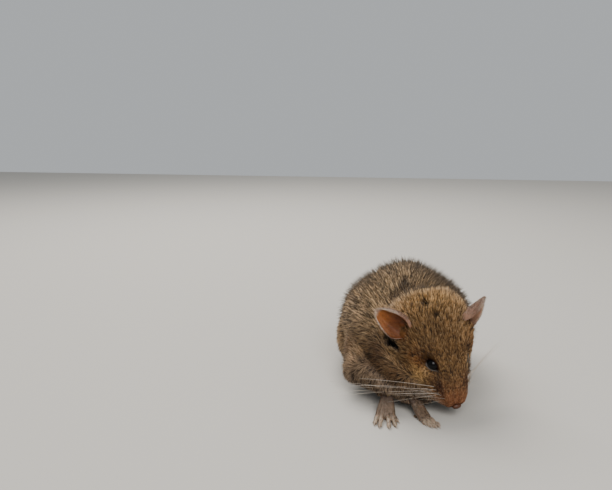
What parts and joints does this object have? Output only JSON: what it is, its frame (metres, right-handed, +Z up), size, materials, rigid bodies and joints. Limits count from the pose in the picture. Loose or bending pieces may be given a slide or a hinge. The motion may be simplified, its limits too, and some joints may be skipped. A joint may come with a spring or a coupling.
{
  "type": "field mouse",
  "caption": "Life-size small brown mouse crouched on all fours, back arched, head bowed and turned to its left, with pointed oval ears, long whiskers and a long thin tail curled behind.",
  "frame": {"origin": "middle of the underside of the whole animal's box, on the floor it rests on", "axes": "+Z up, -Y the way the body faces, so +X is the animal's left and the tail lies towards +Y"},
  "size_m": [0.0446, 0.1006, 0.0311],
  "materials": {
    "coat": "short soft agouti fur, buff hairs mixed with dark brown",
    "bare_skin": "bare pinkish-grey skin with sparse fine hairs",
    "ear": "thin bare skin that lets light through",
    "nose": "moist bare skin",
    "eye": "wet glossy black eye",
    "whisker": "stiff pale hair"
  },
  "bodies": {
    "root": {"head": "coat", "neck": "coat", "trunk": "coat", "foreleg_right": "coat", "foreleg_left": "coat", "thigh_right": "coat", "thigh_left": "coat", "forefoot_right": "bare_skin", "forefoot_left": "bare_skin", "hindfoot_right": "bare_skin", "hindfoot_left": "bare_skin", "tail_root": "bare_skin", "tail_middle": "bare_skin", "tail_tip": "bare_skin", "ear_right": "ear", "ear_left": "ear", "nose": "nose", "eye_right": "eye", "eye_left": "eye", "whisker_right_0": "whisker", "whisker_right_2": "whisker", "whisker_right_3": "whisker", "whisker_left_0": "whisker", "whisker_left_2": "whisker", "whisker_left_3": "whisker"}
  },
  "joints": []
}
